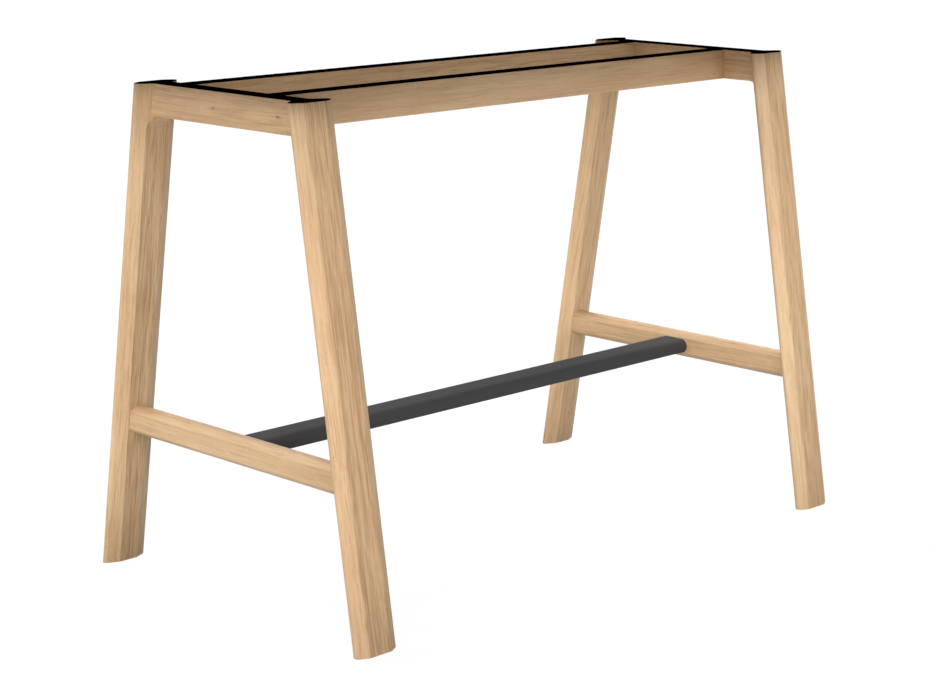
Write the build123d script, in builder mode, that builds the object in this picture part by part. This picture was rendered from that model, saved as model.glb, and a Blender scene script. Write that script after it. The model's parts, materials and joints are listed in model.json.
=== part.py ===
from build123d import *
import math
import os

os.makedirs("parts", exist_ok=True)

# Overall frame, millimetres, floor at z = 0, centre of the plan at the origin
frame_height = 1042.5
liner_thickness = 1.0
foot_gap = 0.5
wood_top = frame_height - liner_thickness
wood_bottom = foot_gap

# Leg section and its lean, all measured in level cuts
leg_x_top = 684.0
leg_x_floor = 686.0
leg_half_width_top = 58.9
leg_half_width_floor = 61.2
leg_half_thick = 18.5
leg_y_top = 237.0
leg_y_floor = 404.6
lean = (leg_y_floor - leg_y_top) / frame_height
outer_flat_half = 28.5
inner_flat_half_top = 30.2
inner_flat_half_floor = 22.3
outer_soft_radius = 16.0
apex_radius = 8.2

# Rails, one thickness throughout
rail_x = 685.0
rail_thick = 44.0
rail_height = 66.0
rail_bottom = wood_top - rail_height
rail_inner_x = rail_x - rail_thick / 2
rail_outer_x = rail_x + rail_thick / 2
corner_radius = 25.0
corner_land = 0.8
rail_ease = 1.5
long_rail_y = {"front": -112.0, "rear": 160.0}

# Low stretchers, flat sides with a crowned top and underside
stretcher_z = 324.0
stretcher_flat = 36.0
stretcher_crown = 12.5
stretcher_bottom = stretcher_z - stretcher_flat / 2 - stretcher_crown
stretcher_top = stretcher_z + stretcher_flat / 2 + stretcher_crown

# Tenons and their mortises
tenon_thick = 14.0
tenon_length = 24.0
mortise_extra = 1.0
rail_tenon_low = 986.0
rail_tenon_high = 1026.0
stretcher_tenon_low = 307.0
stretcher_tenon_high = 341.0

# Footrest tube
footrest_width = 80.0
footrest_height = 33.4
footrest_wall = 2.0
footrest_z = stretcher_z - 0.3
plug_length = 40.0
plug_clearance = 0.25
plug_screw_y = 22.0
plug_screw_radius = 2.25
plug_screw_grip = 25.0
plug_head_radius = 4.5
plug_head_depth = 2.6
lock_screw_inset = 20.0
lock_screw_radius = 2.0
lock_screw_length = 12.0
lock_head_radius = 3.8
lock_head_height = 1.8

# Long rail joint: hanger bolt, half-moon washer, nut and two dowels
bolt_z = rail_bottom + 30.0
bolt_radius = 4.0
bolt_grip = 30.0
bolt_reach = 56.0
bolt_clear_radius = 4.5
pocket_radius = 13.0
pocket_inset = 50.0
pocket_top = bolt_z + 12.0
washer_thick = 6.0
washer_height = 20.0
nut_across = 13.0
nut_thick = 6.5
dowel_radius = 5.0
dowel_in_end = 20.0
dowel_in_long = 29.0
dowel_offset = 17.0

# Screw holes for the table top, up through the long rails
top_hole_x = 480.0
top_hole_radius = 3.25
top_counterbore_radius = 6.5
top_counterbore_depth = 36.0

# Foot glides
glide_radius = 13.0
glide_thick = 4.0
glide_pin_radius = 3.0
glide_pin_length = 14.0

# Black liner strips on the upper faces
liner_inset = 0.6

leg_places = {
    "front_left": (-1, -1),
    "front_right": (1, -1),
    "rear_left": (-1, 1),
    "rear_right": (1, 1),
}
end_places = {"left": -1, "right": 1}


def leg_mid_y(z):
    return leg_y_floor - lean * z


def leg_inner_y(z):
    return leg_mid_y(z) - leg_half_thick


def leg_outline(sx, sy, z, inset=0.0):
    """Six corners of the level leg section at height z."""
    share = z / frame_height
    leg_x = leg_x_floor + (leg_x_top - leg_x_floor) * share
    half_w = leg_half_width_floor + (leg_half_width_top - leg_half_width_floor) * share
    half_w = half_w - inset * 1.4
    half_t = leg_half_thick - inset
    outer_flat = outer_flat_half - inset * 0.4
    inner_flat = inner_flat_half_floor + (inner_flat_half_top - inner_flat_half_floor) * share
    mid = leg_mid_y(z)
    corners = [
        (leg_x + half_w, mid),
        (leg_x + outer_flat, mid + half_t),
        (leg_x - outer_flat, mid + half_t),
        (leg_x - half_w, mid),
        (leg_x - inner_flat, mid - half_t),
        (leg_x + inner_flat, mid - half_t),
    ]
    return [(sx * x, sy * y) for x, y in corners]


def tenon_outline(sy, z_low, z_high, reach):
    """Leaning four-cornered outline of a tenon or mortise in the YZ plane."""
    root = -2.0
    return [
        (sy * (leg_inner_y(z_low) + root), z_low),
        (sy * (leg_inner_y(z_low) + reach), z_low),
        (sy * (leg_inner_y(z_high) + reach), z_high),
        (sy * (leg_inner_y(z_high) + root), z_high),
    ]


def shoulder_tenon_outline(sy, z_low, z_high, reach):
    return [
        (sy * leg_inner_y(z_low), z_low),
        (sy * (leg_inner_y(z_low) + reach), z_low),
        (sy * (leg_inner_y(z_high) + reach), z_high),
        (sy * leg_inner_y(z_high), z_high),
    ]


# Legs
for leg_name, (sx, sy) in leg_places.items():
    with BuildPart() as leg:
        with BuildSketch(Plane.XY.offset(wood_bottom)):
            with BuildLine():
                Polyline(*leg_outline(sx, sy, wood_bottom), close=True)
            make_face()
        with BuildSketch(Plane.XY.offset(wood_top)):
            with BuildLine():
                Polyline(*leg_outline(sx, sy, wood_top), close=True)
            make_face()
        loft(ruled=True)
        # Soft outer corners and eased side edges
        long_edges = [e for e in leg.edges() if e.length > 900]
        outer_edges = sorted(long_edges, key=lambda e: abs((e @ 0.5).Y))[4:6]
        fillet(outer_edges, outer_soft_radius)
        long_edges = [e for e in leg.edges() if e.length > 900]
        by_width = sorted(long_edges, key=lambda e: abs((e @ 0.5).X))
        fillet([by_width[0], by_width[-1]], apex_radius)
        # Mortise for the end rail
        with BuildSketch(Plane.YZ.offset(sx * (rail_x - tenon_thick / 2))):
            with BuildLine():
                Polyline(
                    *tenon_outline(sy, rail_tenon_low, rail_tenon_high, tenon_length + mortise_extra),
                    close=True,
                )
            make_face()
        extrude(amount=sx * tenon_thick, mode=Mode.SUBTRACT)
        # Mortise for the low stretcher
        with BuildSketch(Plane.YZ.offset(sx * (rail_x - tenon_thick / 2))):
            with BuildLine():
                Polyline(
                    *tenon_outline(
                        sy, stretcher_tenon_low, stretcher_tenon_high, tenon_length + mortise_extra
                    ),
                    close=True,
                )
            make_face()
        extrude(amount=sx * tenon_thick, mode=Mode.SUBTRACT)
        # Seat and pin hole of the glide
        with BuildSketch(Plane.XY):
            with Locations((sx * leg_x_floor, sy * leg_y_floor)):
                Circle(glide_radius)
        extrude(amount=glide_thick, mode=Mode.SUBTRACT)
        with BuildSketch(Plane.XY):
            with Locations((sx * leg_x_floor, sy * leg_y_floor)):
                Circle(glide_pin_radius)
        extrude(amount=glide_thick + glide_pin_length + 0.5, mode=Mode.SUBTRACT)
    leg.part.label = "leg_" + leg_name
    export_step(leg.part, "parts/leg_" + leg_name + ".step")

# Glides under the feet
for leg_name, (sx, sy) in leg_places.items():
    with BuildPart() as glide:
        with BuildSketch(Plane.XY):
            with Locations((sx * leg_x_floor, sy * leg_y_floor)):
                Circle(glide_radius)
        extrude(amount=glide_thick)
        with BuildSketch(Plane.XY.offset(glide_thick)):
            with Locations((sx * leg_x_floor, sy * leg_y_floor)):
                Circle(glide_pin_radius)
        extrude(amount=glide_pin_length)
        rim = glide.edges().filter_by(GeomType.CIRCLE).sort_by(Axis.Z)[0]
        fillet(rim, 0.8)
    glide.part.label = "glide_" + leg_name
    export_step(glide.part, "parts/glide_" + leg_name + ".step")

# Curved shoulder of the end rail in the YZ plane
lean_length = math.hypot(1.0, lean)
arc_z = rail_bottom - corner_radius
arc_y = leg_inner_y(arc_z) - (corner_radius + corner_land) * lean_length
arc_end_angle = math.atan2(lean, 1.0)
arc_mid_angle = (arc_end_angle + math.pi / 2) / 2
arc_end = (
    arc_y + corner_radius * math.cos(arc_end_angle),
    arc_z + corner_radius * math.sin(arc_end_angle),
)
arc_mid = (
    arc_y + corner_radius * math.cos(arc_mid_angle),
    arc_z + corner_radius * math.sin(arc_mid_angle),
)
arc_start = (arc_y, rail_bottom)
toe = (leg_inner_y(arc_end[1]), arc_end[1])
shoulder_top = (leg_inner_y(wood_top), wood_top)

# End rails with curved lower corners, tenons and holes for the long rails
for side, sx in end_places.items():
    with BuildPart() as end_rail:
        with BuildSketch(Plane.YZ.offset(sx * rail_inner_x)):
            with BuildLine():
                Polyline((-shoulder_top[0], wood_top), shoulder_top, toe, arc_end)
                ThreePointArc(arc_end, arc_mid, arc_start)
                Line(arc_start, (-arc_start[0], rail_bottom))
                ThreePointArc((-arc_start[0], rail_bottom), (-arc_mid[0], arc_mid[1]), (-arc_end[0], arc_end[1]))
                Polyline((-arc_end[0], arc_end[1]), (-toe[0], toe[1]), (-shoulder_top[0], wood_top))
            make_face()
        extrude(amount=sx * rail_thick)
        # Tenons
        for sy in (-1, 1):
            with BuildSketch(Plane.YZ.offset(sx * (rail_x - tenon_thick / 2))):
                with BuildLine():
                    Polyline(
                        *shoulder_tenon_outline(sy, rail_tenon_low, rail_tenon_high, tenon_length),
                        close=True,
                    )
                make_face()
            extrude(amount=sx * tenon_thick)
        # Bolt and dowel holes in the inner face
        for rail_y in long_rail_y.values():
            with BuildSketch(Plane.YZ.offset(sx * rail_inner_x)):
                with Locations((rail_y, bolt_z)):
                    Circle(bolt_radius)
            extrude(amount=sx * (bolt_grip + 0.5), mode=Mode.SUBTRACT)
            with BuildSketch(Plane.YZ.offset(sx * rail_inner_x)):
                with Locations((rail_y, bolt_z - dowel_offset), (rail_y, bolt_z + dowel_offset)):
                    Circle(dowel_radius)
            extrude(amount=sx * (dowel_in_end + 0.5), mode=Mode.SUBTRACT)
    end_rail.part.label = "end_rail_" + side
    export_step(end_rail.part, "parts/end_rail_" + side + ".step")

# Long rails
for place, rail_y in long_rail_y.items():
    with BuildPart() as long_rail:
        with BuildSketch(Plane.XY.offset(rail_bottom)):
            with Locations((0, rail_y)):
                Rectangle(2 * rail_inner_x, rail_thick)
        extrude(amount=rail_height)
        low_edges = [
            e for e in long_rail.edges().filter_by(Axis.X)
            if abs((e @ 0.5).Z - rail_bottom) < 0.01
        ]
        fillet(low_edges, rail_ease)
        for sx in (-1, 1):
            # Bolt passage, nut pocket from below and dowel holes
            with BuildSketch(Plane.YZ.offset(sx * rail_inner_x)):
                with Locations((rail_y, bolt_z)):
                    Circle(bolt_clear_radius)
            extrude(amount=-sx * (pocket_inset + 2), mode=Mode.SUBTRACT)
            with BuildSketch(Plane.XY.offset(rail_bottom)):
                with Locations((sx * (rail_inner_x - pocket_inset), rail_y)):
                    Circle(pocket_radius)
            extrude(amount=pocket_top - rail_bottom, mode=Mode.SUBTRACT)
            with BuildSketch(Plane.YZ.offset(sx * rail_inner_x)):
                with Locations((rail_y, bolt_z - dowel_offset), (rail_y, bolt_z + dowel_offset)):
                    Circle(dowel_radius)
            extrude(amount=-sx * (dowel_in_long + 0.5), mode=Mode.SUBTRACT)
        # Screw holes for the table top
        with BuildSketch(Plane.XY.offset(rail_bottom)):
            with Locations((-top_hole_x, rail_y), (0, rail_y), (top_hole_x, rail_y)):
                Circle(top_hole_radius)
        extrude(amount=rail_height, mode=Mode.SUBTRACT)
        with BuildSketch(Plane.XY.offset(rail_bottom)):
            with Locations((-top_hole_x, rail_y), (0, rail_y), (top_hole_x, rail_y)):
                Circle(top_counterbore_radius)
        extrude(amount=top_counterbore_depth, mode=Mode.SUBTRACT)
    long_rail.part.label = "long_rail_" + place
    export_step(long_rail.part, "parts/long_rail_" + place + ".step")

# Hardware of the four long rail joints
for place, rail_y in long_rail_y.items():
    for side, sx in end_places.items():
        pocket_x = rail_inner_x - pocket_inset
        washer_face = pocket_x + pocket_radius - washer_thick
        with BuildPart() as bolt:
            with BuildSketch(Plane.YZ.offset(sx * (rail_inner_x + bolt_grip))):
                with Locations((rail_y, bolt_z)):
                    Circle(bolt_radius)
            extrude(amount=-sx * (bolt_grip + bolt_reach))
            tip = bolt.edges().filter_by(GeomType.CIRCLE)
            chamfer(tip, 0.8)
        bolt.part.label = "hanger_bolt_" + place + "_" + side
        export_step(bolt.part, "parts/hanger_bolt_" + place + "_" + side + ".step")

        with BuildPart() as washer:
            with BuildSketch(Plane.XY.offset(bolt_z - washer_height / 2)):
                with Locations((sx * pocket_x, rail_y)):
                    Circle(pocket_radius)
                with Locations((sx * (washer_face - pocket_radius), rail_y)):
                    Rectangle(2 * pocket_radius, 2 * pocket_radius, mode=Mode.SUBTRACT)
            extrude(amount=washer_height)
            with BuildSketch(Plane.YZ.offset(sx * (washer_face - 1))):
                with Locations((rail_y, bolt_z)):
                    Circle(bolt_radius)
            extrude(amount=sx * (washer_thick + 2), mode=Mode.SUBTRACT)
        washer.part.label = "half_moon_washer_" + place + "_" + side
        export_step(washer.part, "parts/half_moon_washer_" + place + "_" + side + ".step")

        with BuildPart() as nut:
            with BuildSketch(Plane.YZ.offset(sx * washer_face)):
                with Locations((rail_y, bolt_z)):
                    RegularPolygon(nut_across / 2, 6, major_radius=False)
                    Circle(bolt_radius, mode=Mode.SUBTRACT)
            extrude(amount=-sx * nut_thick)
        nut.part.label = "nut_" + place + "_" + side
        export_step(nut.part, "parts/nut_" + place + "_" + side + ".step")

        for level, dz in (("lower", -dowel_offset), ("upper", dowel_offset)):
            with BuildPart() as dowel:
                with BuildSketch(Plane.YZ.offset(sx * (rail_inner_x + dowel_in_end))):
                    with Locations((rail_y, bolt_z + dz)):
                        Circle(dowel_radius)
                extrude(amount=-sx * (dowel_in_end + dowel_in_long))
                chamfer(dowel.edges().filter_by(GeomType.CIRCLE), 1.0)
            dowel.part.label = "dowel_" + place + "_" + side + "_" + level
            export_step(dowel.part, "parts/dowel_" + place + "_" + side + "_" + level + ".step")

# Low stretchers with tenons and pilot holes for the footrest plug
for side, sx in end_places.items():
    with BuildPart() as stretcher:
        with BuildSketch(Plane.YZ.offset(sx * rail_inner_x)):
            with BuildLine():
                Polyline(
                    (-leg_inner_y(stretcher_bottom), stretcher_bottom),
                    (leg_inner_y(stretcher_bottom), stretcher_bottom),
                    (leg_inner_y(stretcher_top), stretcher_top),
                    (-leg_inner_y(stretcher_top), stretcher_top),
                    close=True,
                )
            make_face()
        extrude(amount=sx * rail_thick)
        with BuildSketch(Plane.XZ):
            with BuildLine():
                Line(
                    (sx * rail_inner_x, stretcher_z - stretcher_flat / 2),
                    (sx * rail_inner_x, stretcher_z + stretcher_flat / 2),
                )
                ThreePointArc(
                    (sx * rail_inner_x, stretcher_z + stretcher_flat / 2),
                    (sx * rail_x, stretcher_top),
                    (sx * rail_outer_x, stretcher_z + stretcher_flat / 2),
                )
                Line(
                    (sx * rail_outer_x, stretcher_z + stretcher_flat / 2),
                    (sx * rail_outer_x, stretcher_z - stretcher_flat / 2),
                )
                ThreePointArc(
                    (sx * rail_outer_x, stretcher_z - stretcher_flat / 2),
                    (sx * rail_x, stretcher_bottom),
                    (sx * rail_inner_x, stretcher_z - stretcher_flat / 2),
                )
            make_face()
        extrude(amount=leg_y_floor, both=True, mode=Mode.INTERSECT)
        for sy in (-1, 1):
            with BuildSketch(Plane.YZ.offset(sx * (rail_x - tenon_thick / 2))):
                with BuildLine():
                    Polyline(
                        *shoulder_tenon_outline(
                            sy, stretcher_tenon_low, stretcher_tenon_high, tenon_length
                        ),
                        close=True,
                    )
                make_face()
            extrude(amount=sx * tenon_thick)
        with BuildSketch(Plane.YZ.offset(sx * rail_inner_x)):
            with Locations((-plug_screw_y, footrest_z), (plug_screw_y, footrest_z)):
                Circle(plug_screw_radius)
        extrude(amount=sx * (plug_screw_grip + 0.5), mode=Mode.SUBTRACT)
    stretcher.part.label = "stretcher_" + side
    export_step(stretcher.part, "parts/stretcher_" + side + ".step")

# Footrest, a flat-oval tube
with BuildPart() as footrest:
    with BuildSketch(Plane.YZ.offset(-rail_inner_x)):
        with Locations((0, footrest_z)):
            SlotOverall(footrest_width, footrest_height)
            SlotOverall(
                footrest_width - 2 * footrest_wall,
                footrest_height - 2 * footrest_wall,
                mode=Mode.SUBTRACT,
            )
    extrude(amount=2 * rail_inner_x)
    with BuildSketch(Plane.XY.offset(footrest_z - footrest_height / 2 - 1)):
        with Locations(
            (-(rail_inner_x - lock_screw_inset), 0),
            (rail_inner_x - lock_screw_inset, 0),
        ):
            Circle(lock_screw_radius)
    extrude(amount=footrest_wall + 2, mode=Mode.SUBTRACT)
    with Locations(
        (-(rail_inner_x - lock_screw_inset), 0, footrest_z - footrest_height / 2),
        (rail_inner_x - lock_screw_inset, 0, footrest_z - footrest_height / 2),
    ):
        Cone(
            lock_head_radius,
            lock_screw_radius,
            lock_head_height,
            align=(Align.CENTER, Align.CENTER, Align.MIN),
            mode=Mode.SUBTRACT,
        )
footrest.part.label = "footrest"
export_step(footrest.part, "parts/footrest.step")

# Plugs and screws that hold the footrest tube
tube_bottom = footrest_z - footrest_height / 2
plug_bottom = tube_bottom + footrest_wall + plug_clearance
for side, sx in end_places.items():
    plug_end = rail_inner_x - plug_length
    with BuildPart() as plug:
        with BuildSketch(Plane.YZ.offset(sx * rail_inner_x)):
            with Locations((0, footrest_z)):
                SlotOverall(
                    footrest_width - 2 * (footrest_wall + plug_clearance),
                    footrest_height - 2 * (footrest_wall + plug_clearance),
                )
        extrude(amount=-sx * plug_length)
        with BuildSketch(Plane.YZ.offset(sx * rail_inner_x)):
            with Locations((-plug_screw_y, footrest_z), (plug_screw_y, footrest_z)):
                Circle(plug_screw_radius)
        extrude(amount=-sx * plug_length, mode=Mode.SUBTRACT)
        with BuildSketch(Plane.YZ.offset(sx * plug_end)):
            with Locations((-plug_screw_y, footrest_z), (plug_screw_y, footrest_z)):
                Circle(plug_head_radius)
        extrude(amount=sx * plug_head_depth, mode=Mode.SUBTRACT)
        with BuildSketch(Plane.XY.offset(plug_bottom)):
            with Locations((sx * (rail_inner_x - lock_screw_inset), 0)):
                Circle(lock_screw_radius)
        extrude(amount=lock_screw_length, mode=Mode.SUBTRACT)
    plug.part.label = "footrest_plug_" + side
    export_step(plug.part, "parts/footrest_plug_" + side + ".step")

    for place, sy in (("front", -1), ("rear", 1)):
        with BuildPart() as plug_screw:
            with BuildSketch(Plane.YZ.offset(sx * plug_end)):
                with Locations((sy * plug_screw_y, footrest_z)):
                    Circle(plug_head_radius)
            extrude(amount=sx * plug_head_depth)
            with BuildSketch(Plane.YZ.offset(sx * plug_end)):
                with Locations((sy * plug_screw_y, footrest_z)):
                    Circle(plug_screw_radius)
            extrude(amount=sx * (plug_length + plug_screw_grip))
            with BuildSketch(Plane.YZ.offset(sx * plug_end)):
                with Locations((sy * plug_screw_y, footrest_z)):
                    RegularPolygon(1.8, 6)
            extrude(amount=sx * 1.6, mode=Mode.SUBTRACT)
        plug_screw.part.label = "plug_screw_" + side + "_" + place
        export_step(plug_screw.part, "parts/plug_screw_" + side + "_" + place + ".step")

    with BuildPart() as lock_screw:
        with Locations((sx * (rail_inner_x - lock_screw_inset), 0, tube_bottom)):
            Cone(
                lock_head_radius,
                lock_screw_radius,
                lock_head_height,
                align=(Align.CENTER, Align.CENTER, Align.MIN),
            )
            Cylinder(
                lock_screw_radius,
                lock_screw_length,
                align=(Align.CENTER, Align.CENTER, Align.MIN),
            )
        with BuildSketch(Plane.XY.offset(tube_bottom)):
            with Locations((sx * (rail_inner_x - lock_screw_inset), 0)):
                RegularPolygon(1.4, 6)
        extrude(amount=1.2, mode=Mode.SUBTRACT)
    lock_screw.part.label = "lock_screw_" + side
    export_step(lock_screw.part, "parts/lock_screw_" + side + ".step")

# Black liner on the leg tops
for leg_name, (sx, sy) in leg_places.items():
    with BuildPart() as leg_liner:
        with BuildSketch(Plane.XY.offset(wood_top)) as liner_face:
            with BuildLine():
                Polyline(*leg_outline(sx, sy, wood_top, liner_inset), close=True)
            make_face()
            corners = liner_face.vertices().sort_by(lambda v: abs(v.Y))
            fillet(corners[4:6], outer_soft_radius)
            corners = liner_face.vertices()
            by_width = sorted(corners, key=lambda v: abs(v.X))
            fillet([by_width[0], by_width[-1]], apex_radius)
        extrude(amount=liner_thickness)
    leg_liner.part.label = "top_liner_leg_" + leg_name
    export_step(leg_liner.part, "parts/top_liner_leg_" + leg_name + ".step")

# Black liner strips on the end rails
for side, sx in end_places.items():
    with BuildPart() as end_liner:
        with BuildSketch(Plane.XY.offset(wood_top)):
            with Locations((sx * rail_x, 0)):
                Rectangle(rail_thick - 2 * liner_inset, 2 * (leg_inner_y(wood_top) - 0.5))
        extrude(amount=liner_thickness)
    end_liner.part.label = "top_liner_end_rail_" + side
    export_step(end_liner.part, "parts/top_liner_end_rail_" + side + ".step")

# Black liner strips on the long rails
for place, rail_y in long_rail_y.items():
    with BuildPart() as long_liner:
        with BuildSketch(Plane.XY.offset(wood_top)):
            with Locations((0, rail_y)):
                Rectangle(2 * rail_inner_x, rail_thick - 2 * liner_inset)
            with Locations((-top_hole_x, rail_y), (0, rail_y), (top_hole_x, rail_y)):
                Circle(top_hole_radius, mode=Mode.SUBTRACT)
        extrude(amount=liner_thickness)
    long_liner.part.label = "top_liner_long_rail_" + place
    export_step(long_liner.part, "parts/top_liner_long_rail_" + place + ".step")
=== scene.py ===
import bmesh
import bpy
import json
import math
from mathutils import Matrix, Vector


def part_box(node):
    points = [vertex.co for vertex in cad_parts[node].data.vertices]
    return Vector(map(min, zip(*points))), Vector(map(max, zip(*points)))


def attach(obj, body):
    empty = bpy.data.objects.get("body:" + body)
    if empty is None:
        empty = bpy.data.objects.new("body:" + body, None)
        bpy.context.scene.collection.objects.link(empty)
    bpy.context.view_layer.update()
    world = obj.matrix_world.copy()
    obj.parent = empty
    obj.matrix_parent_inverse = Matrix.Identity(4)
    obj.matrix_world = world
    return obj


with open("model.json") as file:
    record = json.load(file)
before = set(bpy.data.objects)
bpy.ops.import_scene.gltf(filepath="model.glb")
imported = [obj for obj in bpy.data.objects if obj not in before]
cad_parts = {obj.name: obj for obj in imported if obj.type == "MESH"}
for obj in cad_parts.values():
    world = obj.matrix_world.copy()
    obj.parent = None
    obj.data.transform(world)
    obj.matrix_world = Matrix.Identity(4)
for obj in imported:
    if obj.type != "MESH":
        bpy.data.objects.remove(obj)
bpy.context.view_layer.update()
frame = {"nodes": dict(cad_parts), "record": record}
nodes = frame["nodes"]
slot_of = {part["node"]: part["material_slot"] for part in frame["record"]["subparts"]}
scene = bpy.context.scene

# Colours, linear
oak_light = (0.685, 0.484, 0.286)
oak_middle = (0.610, 0.410, 0.226)
oak_warm = (0.560, 0.350, 0.196)
oak_deep = (0.370, 0.216, 0.106)
oak_fleck = (0.740, 0.530, 0.340)
pore_brown = (0.240, 0.130, 0.060)
knot_brown = (0.170, 0.085, 0.040)
charcoal = (0.052, 0.051, 0.051)
black_paint = (0.020, 0.020, 0.021)
liner_black = (0.0022, 0.0022, 0.0023)
glide_black = (0.024, 0.024, 0.025)
plug_black = (0.035, 0.035, 0.036)
zinc = (0.62, 0.63, 0.65)
board_grey = (0.2, 0.2, 0.2)
white = (1.0, 1.0, 1.0)

# Wood: ring width, softness of the edges and depth of the open grain, metres
ring_spacing = 0.0042
eased_radius = 0.0009
grain_depth = 0.00020

# Level sections of a leg, metres. Values go from the floor to the top.
leg_x = (0.686, 0.684)
leg_y = (0.4046, 0.2370)
leg_half_width = (0.0612, 0.0589)
leg_inner_flat = (0.0223, 0.0302)
leg_half_thick = 0.0185

# Curved corner under each end of the end rails
sweep_radius = 0.025
sweep_land = 0.0008
sweep_end = math.radians(40.0)
sweep_steps = 12
weld_distance = 0.00002

# Floor and sky
floor_reach = 40.0
floor_height = -0.0002
foot_place = (0.686, 0.405, 0.0)
foot_shade_from = 0.10
foot_shade_to = 0.50
floor_glow = 0.29
floor_bounce = 0.30
white_floor_glow = 0.955
white_floor_bounce = 0.05
sky_light = 0.02

# Sheets above the frame: reach in X, both edges in Y and height
shade_board_place = (0.86, -0.40, 0.40, 1.055)
fill_panel_place = (0.64, -0.08, 0.13, 1.054)
fill_panel_glow = 0.30

# Distant lamps: azimuth from +X towards +Y, height in degrees, and power
lamps = (
    (180, 8, 1.05), (200, 8, 0.34), (220, 8, 0.57), (240, 8, 0.27), (265, 8, 0.87), (240, 28, 0.69),
    (180, 46, 0.24), (200, 46, 0.50), (220, 62, 0.18), (240, 62, 0.12), (265, 62, 0.23),
    (120, 50, 1.09), (30, 30, 0.45), (40, 65, 2.19), (80, 30, 1.08),
)
lamp_width = math.radians(24)
lamp_distance = 5.0
lamp_aim = Vector((0, 0, 0.55))

# Camera, solved from the edges in the photograph
camera_place = Vector((-3.3789, -3.3936, 1.5202))
view_turn = math.radians(44.484)
view_dip = math.radians(12.940)
view_roll = math.radians(0.05)
sensor_width = 36.0
lens_length = 86.17
view_reach = 200.0


def shade(color, factor):
    return tuple(channel * factor for channel in color)


def at_height(floor_and_top, share):
    """A leg measure at a share of the frame's height."""
    floor_value, top_value = floor_and_top
    return floor_value + (top_value - floor_value) * share


class Net:
    """Short calls for building the node tree of one material or world."""

    def __init__(self, owner, output="ShaderNodeOutputMaterial"):
        owner.use_nodes = True
        self.owner = owner
        self.tree = owner.node_tree
        self.tree.nodes.clear()
        self.out = self.tree.nodes.new(output)

    def node(self, kind, **settings):
        made = self.tree.nodes.new(kind)
        for key, value in settings.items():
            setattr(made, key, value)
        return made

    def put(self, socket, value):
        if isinstance(value, bpy.types.NodeSocket):
            self.tree.links.new(value, socket)
        elif socket.type == "RGBA":
            socket.default_value = (*value, 1.0)
        else:
            socket.default_value = value

    def place(self):
        return self.node("ShaderNodeTexCoord").outputs["Object"]

    def turned(self, vector, turn, shift=(0, 0, 0)):
        made = self.node("ShaderNodeMapping", vector_type="POINT")
        made.inputs["Rotation"].default_value = turn
        made.inputs["Location"].default_value = shift
        self.put(made.inputs["Vector"], vector)
        return made.outputs[0]

    def math(self, operation, a, b=0.0):
        made = self.node("ShaderNodeMath", operation=operation)
        self.put(made.inputs[0], a)
        self.put(made.inputs[1], b)
        return made.outputs[0]

    def vmath(self, operation, a, b=(0, 0, 0), out=0):
        made = self.node("ShaderNodeVectorMath", operation=operation)
        self.put(made.inputs[0], a)
        self.put(made.inputs[1], b)
        return made.outputs[out]

    def length(self, vector):
        return self.vmath("LENGTH", vector, out=1)

    def noise(self, vector, scale, detail=2.0, rough=0.5, out="Fac"):
        """Noise at one scale, or at a scale for each axis."""
        if isinstance(scale, tuple):
            vector = self.vmath("MULTIPLY", vector, scale)
            scale = 1.0
        made = self.node("ShaderNodeTexNoise", noise_dimensions="3D")
        self.put(made.inputs["Vector"], vector)
        made.inputs["Scale"].default_value = scale
        made.inputs["Detail"].default_value = detail
        made.inputs["Roughness"].default_value = rough
        return made.outputs[out]

    def ramp(self, fac, stops):
        """A smooth grey ramp through (position, level) stops."""
        made = self.node("ShaderNodeValToRGB")
        made.color_ramp.interpolation = "EASE"
        elements = made.color_ramp.elements
        while len(elements) < len(stops):
            elements.new(0.5)
        for element, (position, level) in zip(elements, stops):
            element.position = position
            element.color = (level, level, level, 1.0)
        self.put(made.inputs["Fac"], fac)
        return made.outputs["Color"]

    def mix(self, fac, a, b):
        made = self.node("ShaderNodeMix", data_type="RGBA", blend_type="MIX")
        self.put(made.inputs[0], fac)
        self.put(made.inputs[6], a)
        self.put(made.inputs[7], b)
        return made.outputs[2]

    def mix_value(self, fac, a, b):
        made = self.node("ShaderNodeMix", data_type="FLOAT")
        self.put(made.inputs[0], fac)
        self.put(made.inputs[2], a)
        self.put(made.inputs[3], b)
        return made.outputs[0]

    def remap(self, value, low, high, to_low, to_high):
        made = self.node("ShaderNodeMapRange", clamp=True)
        self.put(made.inputs[0], value)
        for socket, number in zip(made.inputs[1:5], (low, high, to_low, to_high)):
            socket.default_value = number
        return made.outputs[0]

    def clouded(self, cloud, color, low, high):
        """The colour between two of its shades, by a cloud noise."""
        return self.mix(self.remap(cloud, 0.3, 0.7, 0.0, 1.0), shade(color, low), shade(color, high))

    def bump(self, height, distance, strength, normal=None):
        made = self.node("ShaderNodeBump")
        made.inputs["Strength"].default_value = strength
        made.inputs["Distance"].default_value = distance
        self.put(made.inputs["Height"], height)
        if normal is not None:
            self.put(made.inputs["Normal"], normal)
        return made.outputs[0]

    def surface(self, shader):
        self.tree.links.new(shader, self.out.inputs["Surface"])
        return self.owner

    def principled(self, color, roughness, normal, specular, metallic=0.0):
        shader = self.node("ShaderNodeBsdfPrincipled")
        self.put(shader.inputs["Base Color"], color)
        self.put(shader.inputs["Roughness"], roughness)
        self.put(shader.inputs["Normal"], normal)
        shader.inputs["Specular IOR Level"].default_value = specular
        shader.inputs["Metallic"].default_value = metallic
        return self.surface(shader.outputs[0])


# Oak and beech

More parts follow.
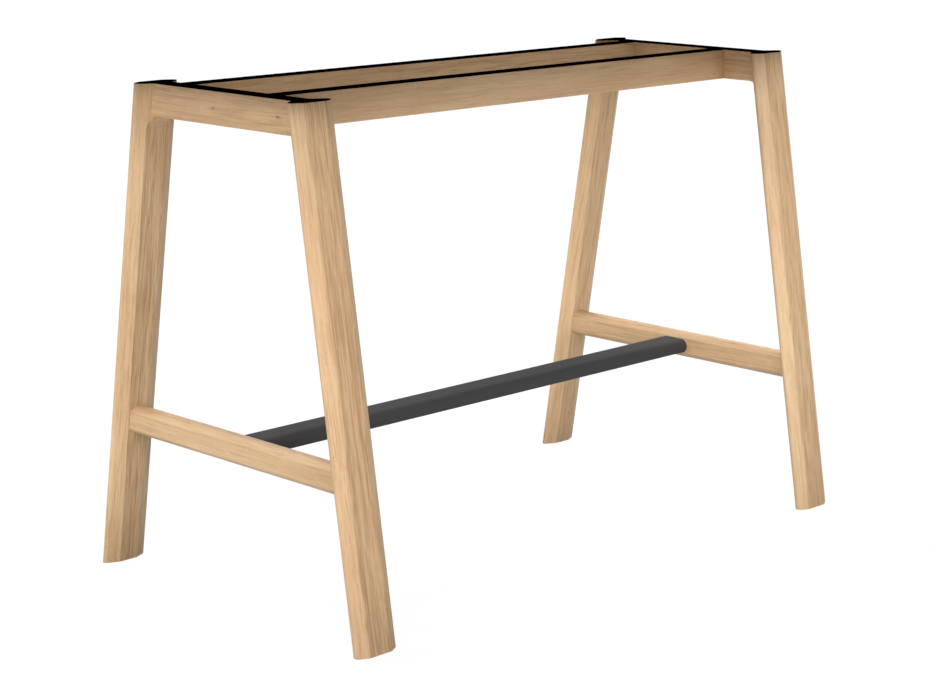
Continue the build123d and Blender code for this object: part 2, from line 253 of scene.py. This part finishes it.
def wandered(net, grain):
    """The fibres wander across the grain, slow and wide, then quicker and narrower."""
    bent = grain
    for across, along, reach in ((5.0, 0.7, 0.030), (19.0, 3.2, 0.0085), (62.0, 9.0, 0.0022)):
        wander = net.noise(grain, (across, across, along), out="Color")
        wander = net.vmath("SUBTRACT", wander, (0.5, 0.5, 0.5))
        wander = net.vmath("MULTIPLY", wander, (reach, reach, 0.0))
        bent = net.vmath("ADD", bent, wander)
    return bent


def around_knots(net, place, turn, bent, knots):
    """Each knot pushes the fibres aside. Returns them and the dark of the knots."""
    dark = None
    for knot, size in knots:
        away = net.turned(net.vmath("SUBTRACT", place, knot), turn)
        reach = net.length(net.vmath("MULTIPLY", away, (1.0, 1.0, 0.38)))
        swell = net.math("POWER", net.remap(reach, 0.0, size * 4.0, 1.0, 0.0), 2.4)
        bent = net.vmath("ADD", bent, net.vmath("MULTIPLY", swell, (size * 2.2, size * 1.8, 0.0)))
        middle = net.remap(reach, size * 0.35, size * 1.25, 1.0, 0.0)
        dark = middle if dark is None else net.math("MAXIMUM", dark, middle)
    return bent, dark


def growth_rings(net, grain, bent):
    """From porous early wood, 0.1, to dense late wood, 0.92, ring by ring."""
    radius = net.length(net.vmath("MULTIPLY", bent, (1.0, 1.0, 0.0)))
    width = net.noise(grain, (18.0, 18.0, 0.5), 1.0)
    width = net.math("ADD", net.math("MULTIPLY", width, 0.8), 0.6)
    phase = net.math("FRACT", net.math("DIVIDE", net.math("DIVIDE", radius, ring_spacing), width))
    return net.ramp(phase, ((0.0, 0.45), (0.10, 0.10), (0.34, 0.62), (0.80, 0.92), (1.0, 0.45)))


def oak(name, turn, heart, slide, tone_and_painted_light=1.0, figure=1.0, knots=(), flat_cut=None):
    """Oak with its grain along the piece.

    turn brings the grain onto Z, heart is the ring centre across the grain and
    slide shifts the figure along it, in metres. tone scales the colour, figure
    the strength of the dark streaks. Each knot is a place and a radius. flat_cut
    is the direction of the faces that show the full figure, where the others
    are cut calmer."""
    net = Net(bpy.data.materials.new(name))
    place = net.place()
    grain = net.turned(place, turn, (-heart[0], -heart[1], slide))
    bent, dark = around_knots(net, place, turn, wandered(net, grain), knots)
    ring = growth_rings(net, grain, bent)

    # Streaks from wide to fine, pores and ray flecks
    patch = net.remap(net.noise(bent, (70.0, 70.0, 7.0), 2.0, 0.55), 0.40, 0.62, 0.12, 1.0)
    cloud = net.noise(bent, (16.0, 16.0, 1.9), 3.0, 0.55)
    blush = net.noise(grain, (9.0, 9.0, 2.6), 2.0, 0.5)
    broad = net.noise(bent, (150.0, 150.0, 5.0), 2.0, 0.55)
    narrow = net.noise(bent, (330.0, 330.0, 15.0), 2.0, 0.6)
    crack = net.remap(net.noise(bent, (520.0, 520.0, 10.0), 1.0), 0.57, 0.66, 0.0, 1.0)
    fibre = net.noise(bent, (1100.0, 1100.0, 34.0), 2.0, 0.55)
    pore = net.remap(net.noise(bent, (2300.0, 2300.0, 120.0), 1.0), 0.60, 0.68, 0.0, 1.0)
    pore = net.math("MULTIPLY", pore, net.remap(ring, 0.12, 0.60, 1.0, 0.12))
    fleck = net.remap(net.noise(grain, (300.0, 90.0, 34.0), 1.0, 0.4), 0.66, 0.74, 0.0, 1.0)

    strength = figure
    if flat_cut is not None:
        facing = net.node("ShaderNodeTexCoord").outputs["Normal"]
        facing = net.math("ABSOLUTE", net.vmath("DOT_PRODUCT", facing, flat_cut, out=1))
        strength = net.remap(facing, 0.84, 0.97, 0.50 * figure, 1.15 * figure)

    deep = shade(oak_deep, tone_and_painted_light)
    color = net.mix(net.remap(cloud, 0.30, 0.70, 0.0, 1.0), shade(oak_middle, tone_and_painted_light), shade(oak_light, tone_and_painted_light))
    color = net.mix(net.remap(blush, 0.42, 0.66, 0.0, 0.70), color, shade(oak_warm, tone_and_painted_light))
    ring_lines = net.math("MULTIPLY", net.remap(ring, 0.12, 0.80, 0.42, 0.0), patch)
    broad_streaks = net.remap(broad, 0.48, 0.70, 0.0, 0.50)
    narrow_streaks = net.math("MULTIPLY", net.remap(narrow, 0.50, 0.64, 0.0, 0.66), patch)
    cracks = net.math("MULTIPLY", crack, 0.55)
    for streaks in (ring_lines, broad_streaks, narrow_streaks, cracks):
        color = net.mix(net.math("MULTIPLY", streaks, strength), color, deep)
    color = net.mix(net.remap(fibre, 0.40, 0.75, 0.0, 0.22), color, deep)
    color = net.mix(net.math("MULTIPLY", fleck, 0.20), color, shade(oak_fleck, tone_and_painted_light))
    color = net.mix(net.math("MULTIPLY", pore, 0.50), color, pore_brown)
    if dark is not None:
        color = net.mix(net.math("MULTIPLY", dark, 0.72), color, knot_brown)

    # Slightly eased edges, open pores and raised fibres
    eased = net.node("ShaderNodeBevel", samples=4)
    eased.inputs["Radius"].default_value = eased_radius
    height = net.math("ADD", net.math("MULTIPLY", ring, 0.30), net.math("MULTIPLY", fibre, 0.45))
    height = net.math("SUBTRACT", height, net.math("MULTIPLY", pore, 0.9))
    normal = net.bump(height, grain_depth, 0.7, eased.outputs[0])
    rough = net.math("ADD", fibre, net.math("MULTIPLY", ring, -0.35))
    rough = net.remap(rough, -0.1, 0.6, 0.34, 0.46)
    return net.principled(color, rough, normal, specular=0.22)


# Coated, moulded and plated surfaces

def powder_coat(name, color, scuff):
    """Matt orange-peel coating with fine specks and rubbed places."""
    net = Net(bpy.data.materials.new(name))
    place = net.place()
    peel = net.noise(place, 620.0, 2.0, 0.55)
    cloud = net.noise(place, (2.2, 9.0, 9.0), 3.0, 0.55)
    speck = net.noise(place, 1900.0, 1.0)
    rub = net.remap(net.noise(place, (18.0, 260.0, 60.0), 3.0, 0.6), 0.60, 0.74, 0.0, scuff)
    tint = net.clouded(cloud, color, 0.93, 1.07)
    tint = net.mix(net.remap(speck, 0.62, 0.74, 0.0, 0.35), tint, shade(color, 1.9))
    tint = net.mix(rub, tint, tuple(channel * 1.6 + 0.01 for channel in color))
    normal = net.bump(net.math("ADD", peel, net.math("MULTIPLY", speck, 0.4)), 0.00012, 0.7)
    return net.principled(tint, net.remap(cloud, 0.3, 0.7, 0.72, 0.84), normal, specular=0.10)


def foam(name, color):
    """Dense black liner with a fine closed cell surface."""
    net = Net(bpy.data.materials.new(name))
    place = net.place()
    cells = net.node("ShaderNodeTexVoronoi", feature="F1")
    cells.inputs["Scale"].default_value = 900.0
    net.put(cells.inputs["Vector"], place)
    cloud = net.noise(place, 30.0, 3.0, 0.6)
    tint = net.clouded(cloud, color, 0.7, 1.4)
    normal = net.bump(cells.outputs["Distance"], 0.00015, 0.8)
    return net.principled(tint, net.remap(cloud, 0.3, 0.7, 0.86, 0.97), normal, specular=0.0)


def moulded(name, color):
    """Nylon with the fine spark texture of its mould."""
    net = Net(bpy.data.materials.new(name))
    place = net.place()
    spark = net.noise(place, 1400.0, 2.0, 0.6)
    cloud = net.noise(place, 60.0)
    tint = net.clouded(cloud, color, 0.85, 1.15)
    normal = net.bump(spark, 0.00006, 0.7)
    return net.principled(tint, net.remap(cloud, 0.3, 0.7, 0.5, 0.62), normal, specular=0.4)


def plated(name, color):
    """Zinc-plated steel with fine turning lines and slight clouding."""
    net = Net(bpy.data.materials.new(name))
    place = net.place()
    lines = net.noise(place, (2600.0, 90.0, 90.0))
    cloud = net.noise(place, 120.0, 3.0, 0.6)
    tint = net.clouded(cloud, color, 0.88, 1.0)
    normal = net.bump(lines, 0.00004, 0.6)
    return net.principled(tint, net.remap(cloud, 0.3, 0.7, 0.28, 0.42), normal, 0.5, metallic=1.0)


# Materials on the pieces. Each oak board has its own grain direction, heart,
# slide and figure, and knots where the photograph shows them. Its tone scale
# is partly the board's own tone and partly painted light, set to the board's
# brightness: the rear long rail and the right end rail are made lighter as
# painted fill light on faces that the lamps hardly reach.

grain_lean = math.atan2(0.1678, 1.0420)
leg_across = 0.4048 * math.cos(grain_lean)
across_leg = (0.0, 1.0, 0.0)
along_x = (0, -math.pi / 2, 0)
along_y = (math.pi / 2, 0, 0)
rear_leg = (-grain_lean, 0, 0)
front_leg = (grain_lean, 0, 0)
leg_knots = (((-0.677, 0.2575, 0.811), 0.0018),)
end_rail_knots = (((-0.707, 0.025, 1.008), 0.0022), ((-0.707, -0.172, 1.008), 0.0028))
long_rail_knots = (((0.456, -0.134, 1.019), 0.0011), ((0.626, -0.134, 0.989), 0.0014))
oak_pieces = {
    "leg_rear_left": (rear_leg, (-0.685, leg_across + 0.070), 0.31, 0.945, 1.00, leg_knots, across_leg),
    "leg_front_left": (front_leg, (-0.660, -leg_across + 0.085), 1.93, 0.97, 1.05, (), across_leg),
    "leg_rear_right": (rear_leg, (0.700, leg_across + 0.060), 3.17, 1.11, 0.85, (), across_leg),
    "leg_front_right": (front_leg, (0.690, -leg_across + 0.055), 4.71, 0.98, 0.85, (), across_leg),
    "end_rail_left": (along_y, (-0.640, -1.010), 0.7, 0.985, 0.70, end_rail_knots),
    # painted fill light: the right end rail's tone is raised so its inner face, which the lamps hardly
    # reach, comes out lighter
    "end_rail_right": (along_y, (0.740, -1.050), 2.3, 1.20, 0.70),
    "long_rail_front": (along_x, (-1.045, -0.052), 5.2, 1.06, 0.42, long_rail_knots),
    # painted fill light together with the board's own lighter tone: the rear long rail's tone is raised so
    # its inner face, which the lamps hardly reach, comes out lighter
    "long_rail_rear": (along_x, (-0.965, 0.215), 6.4, 1.22, 0.80),
    "stretcher_left": (along_y, (-0.655, -0.290), 7.7, 0.890, 0.42),
    "stretcher_right": (along_y, (0.725, -0.275), 8.9, 0.985, 0.60),
}
for node, settings in oak_pieces.items():
    nodes[node].material_slots[0].material = oak("oak_" + node, *settings)

shared = {
    "charcoal_coat": powder_coat("charcoal_coat", charcoal, 0.14),
    "black_steel": powder_coat("black_steel", black_paint, 0.1),
    "black_liner": foam("black_liner", liner_black),
    "glide_nylon": moulded("glide_nylon", glide_black),
    "plug_nylon": moulded("plug_nylon", plug_black),
    "zinc_steel": plated("zinc_steel", zinc),
    "beech": oak("beech", along_x, (-1.03, 0.1), 9.6, 1.03),
}
for node, slot in slot_of.items():
    if slot in shared:
        nodes[node].material_slots[0].material = shared[slot]

# Where an end rail meets a leg, the leg's inner facet runs on in its own plane
# up to the rail's face and is cut by the sweep of the rail's curved corner.

wood_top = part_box("leg_front_left")[1][2]
liner_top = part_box("top_liner_leg_front_left")[1][2]
rail_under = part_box("long_rail_front")[0][2]
rail_low, rail_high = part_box("end_rail_left")
rail_outer = abs(rail_low[0])
rail_inner = abs(rail_high[0])
leg_slope = (leg_y[0] - leg_y[1]) / liner_top
sweep_z = rail_under - sweep_radius


def facet_at(height, side):
    """Inner arris and side edge of a leg section in X, and its inner face in Y."""
    share = height / liner_top
    middle_x = at_height(leg_x, share)
    arris = middle_x + side * at_height(leg_inner_flat, share)
    edge = middle_x + side * at_height(leg_half_width, share)
    return arris, edge, at_height(leg_y, share) - leg_half_thick


def sweep_depth(height):
    """How far the rail's curved corner stands off the leg at one height."""
    if height >= rail_under:
        return math.inf
    centre_y = facet_at(sweep_z, 1)[2] - (sweep_radius + sweep_land) * math.hypot(1.0, leg_slope)
    return facet_at(height, 1)[2] - centre_y - math.sqrt(sweep_radius ** 2 - (height - sweep_z) ** 2)


def blend_heights():
    """Heights up the curved corner, then the rail's underside, wood top and liner top."""
    start = math.atan(leg_slope)
    turns = [start + (sweep_end - start) * step / sweep_steps for step in range(sweep_steps + 1)]
    curve = [sweep_z + sweep_radius * math.sin(turn) for turn in turns]
    return curve + [rail_under, wood_top, liner_top]


def blend_row(corner, height, side, face_x, sx, sy):
    """Four corners of one wedge at one height, between facet, leg and rail face."""
    arris, edge, leg_face = facet_at(height, side)
    full = abs(face_x - arris) * leg_half_thick / abs(edge - arris)
    depth = min(full, sweep_depth(height))
    foot = arris + (face_x - arris) * depth / full
    outline = (
        (arris, leg_face), (foot, leg_face - depth),
        (face_x, leg_face - depth), (face_x, leg_face),
    )
    return [corner.verts.new((sx * x, sy * y, height)) for x, y in outline]


def corner_blend(place, sx, sy):
    """Two wedges, on the rail's outer and inner face. The top millimetre is liner."""
    corner = bmesh.new()
    for side, face_x in ((1, rail_outer), (-1, rail_inner)):
        rows = [blend_row(corner, height, side, face_x, sx, sy) for height in blend_heights()]
        for low, high in zip(rows, rows[1:]):
            for k in range(4):
                loop = (low[k], low[(k + 1) % 4], high[(k + 1) % 4], high[k])
                corner.faces.new(loop).material_index = int(high is rows[-1])
        corner.faces.new(rows[0])
        corner.faces.new(rows[-1]).material_index = 1
    bmesh.ops.remove_doubles(corner, verts=corner.verts, dist=weld_distance)
    bmesh.ops.recalc_face_normals(corner, faces=corner.faces)
    mesh = bpy.data.meshes.new("corner_blend_" + place)
    corner.to_mesh(mesh)
    corner.free()
    mesh.materials.append(nodes["leg_" + place].material_slots[0].material)
    mesh.materials.append(shared["black_liner"])
    blend = bpy.data.objects.new("corner_blend_" + place, mesh)
    scene.collection.objects.link(blend)
    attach(blend, "root")


for place, sx, sy in (
    ("rear_left", -1, 1), ("front_left", -1, -1), ("rear_right", 1, 1), ("front_right", 1, -1),
):
    corner_blend(place, sx, sy)

# Floor, world and the sheets above the frame


def level_sheet(name, reach_x, y_low, y_high, height, material, camera_sees):
    """A level sheet that isn't part of the object."""
    mesh = bpy.data.meshes.new(name)
    corners = ((-reach_x, y_low), (reach_x, y_low), (reach_x, y_high), (-reach_x, y_high))
    mesh.from_pydata([(x, y, height) for x, y in corners], [], [(0, 1, 2, 3)])
    mesh.materials.append(material)
    sheet = bpy.data.objects.new(name, mesh)
    sheet.visible_camera = camera_sees
    scene.collection.objects.link(sheet)


def background_rays(net):
    """1 for rays that show the background: in the camera, in glass and in gloss."""
    rays = net.node("ShaderNodeLightPath").outputs
    seen = net.math("MAXIMUM", rays["Is Camera Ray"], rays["Is Transmission Ray"])
    return net.math("MAXIMUM", seen, rays["Is Glossy Ray"])


def floor_white():
    """White where it is seen as background, with only a faint contact shadow.
    As a light it is dark close to each foot and glows softly farther out."""
    net = Net(bpy.data.materials.new("floor_white"))
    seen = background_rays(net)
    foot_away = net.length(net.vmath("SUBTRACT", net.vmath("ABSOLUTE", net.place()), foot_place))
    bounce = net.remap(foot_away, foot_shade_from, foot_shade_to, 0.0, floor_bounce)
    light = net.remap(foot_away, foot_shade_from, foot_shade_to, 0.0, floor_glow)
    paper = net.node("ShaderNodeBsdfDiffuse")
    net.put(paper.inputs["Color"], net.mix_value(seen, bounce, white_floor_bounce))
    glow = net.node("ShaderNodeEmission")
    net.put(glow.inputs["Color"], white)
    net.put(glow.inputs["Strength"], net.mix_value(seen, light, white_floor_glow))
    both = net.node("ShaderNodeAddShader")
    net.put(both.inputs[0], paper.outputs[0])
    net.put(both.inputs[1], glow.outputs[0])
    return net.surface(both.outputs[0])


def studio():
    """White sky where it is seen as background, and almost no light from it."""
    net = Net(bpy.data.worlds.new("studio"), "ShaderNodeOutputWorld")
    sky = net.node("ShaderNodeBackground")
    net.put(sky.inputs["Color"], white)
    net.put(sky.inputs["Strength"], net.remap(background_rays(net), 0.0, 1.0, sky_light, 1.0))
    return net.surface(sky.outputs[0])


def plain_diffuse(name, color):
    net = Net(bpy.data.materials.new(name))
    shader = net.node("ShaderNodeBsdfDiffuse")
    net.put(shader.inputs["Color"], color)
    return net.surface(shader.outputs[0])


def plain_glow(name, strength):
    net = Net(bpy.data.materials.new(name))
    shader = net.node("ShaderNodeEmission")
    net.put(shader.inputs["Strength"], strength)
    return net.surface(shader.outputs[0])


level_sheet("floor", floor_reach, -floor_reach, floor_reach, floor_height, floor_white(), True)
scene.world = studio()

# The board shades the frame from above, and the panel under it fills the space
# between the long rails with soft light
level_sheet("shade_board", *shade_board_place, plain_diffuse("board_grey", board_grey), False)
level_sheet("fill_panel", *fill_panel_place, plain_glow("panel_glow", fill_panel_glow), False)


def soft_sun(azimuth, height, power):
    """A broad distant lamp."""
    turn = math.radians(azimuth)
    rise = math.radians(height)
    toward = Vector((math.cos(turn) * math.cos(rise), math.sin(turn) * math.cos(rise), math.sin(rise)))
    name = "sun_%d_%d" % (azimuth, height)
    lamp = bpy.data.lights.new(name, "SUN")
    lamp.angle = lamp_width
    lamp.energy = power
    holder = bpy.data.objects.new(name, lamp)
    holder.location = toward * lamp_distance + lamp_aim
    holder.rotation_euler = (-toward).to_track_quat("-Z", "Y").to_euler()
    scene.collection.objects.link(holder)


for azimuth, height, power in lamps:
    soft_sun(azimuth, height, power)

# Camera
look = Vector((
    math.sin(view_turn) * math.cos(view_dip),
    math.cos(view_turn) * math.cos(view_dip),
    -math.sin(view_dip),
))
level_right = Vector((math.cos(view_turn), -math.sin(view_turn), 0.0))
level_up = level_right.cross(look)
right = level_right * math.cos(view_roll) - level_up * math.sin(view_roll)
up = level_up * math.cos(view_roll) + level_right * math.sin(view_roll)
camera_data = bpy.data.cameras.new("camera")
camera_data.sensor_width = sensor_width
camera_data.sensor_fit = "HORIZONTAL"
camera_data.lens = lens_length
camera_data.clip_end = view_reach
camera = bpy.data.objects.new("camera", camera_data)
pose = Matrix((right, up, -look)).transposed().to_4x4()
pose.translation = camera_place
camera.matrix_world = pose
scene.collection.objects.link(camera)
scene.camera = camera

scene.view_settings.view_transform = "Standard"
